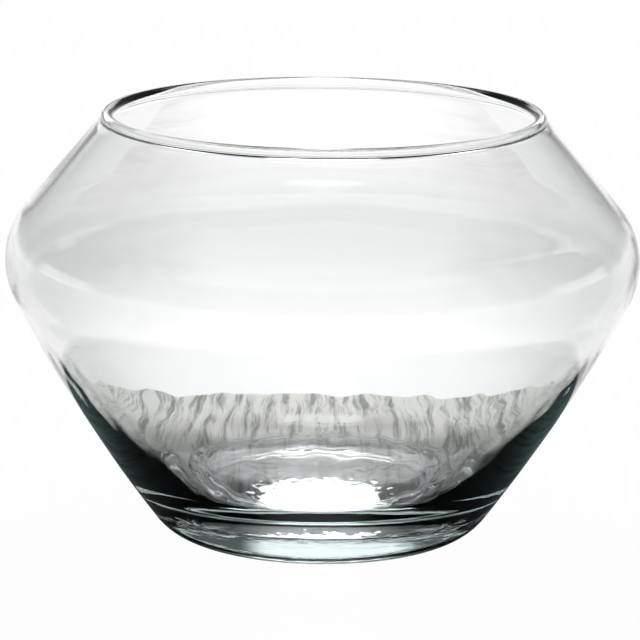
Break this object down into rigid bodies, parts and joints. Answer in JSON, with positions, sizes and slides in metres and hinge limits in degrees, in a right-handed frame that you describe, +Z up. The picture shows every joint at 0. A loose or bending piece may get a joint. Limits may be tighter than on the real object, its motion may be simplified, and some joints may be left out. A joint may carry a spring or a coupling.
{
  "type": "rose bowl vase",
  "caption": "Clear glass rose bowl vase: wide rounded belly, cone-shaped shoulder drawn in to an open round mouth, and a lower wall narrowing to a thick solid base.",
  "frame": {"origin": "centre of the foot, on the table", "axes": "+Z up, out through the mouth, along the bowl's axis; the bowl is the same all round"},
  "size_m": [0.2, 0.2, 0.1354],
  "materials": {
    "clear_glass": "clear, nearly colourless glass, smooth and fire-polished, faintly blue-green where it is thick"
  },
  "bodies": {
    "root": {"glass_bowl": "clear_glass"}
  },
  "joints": []
}
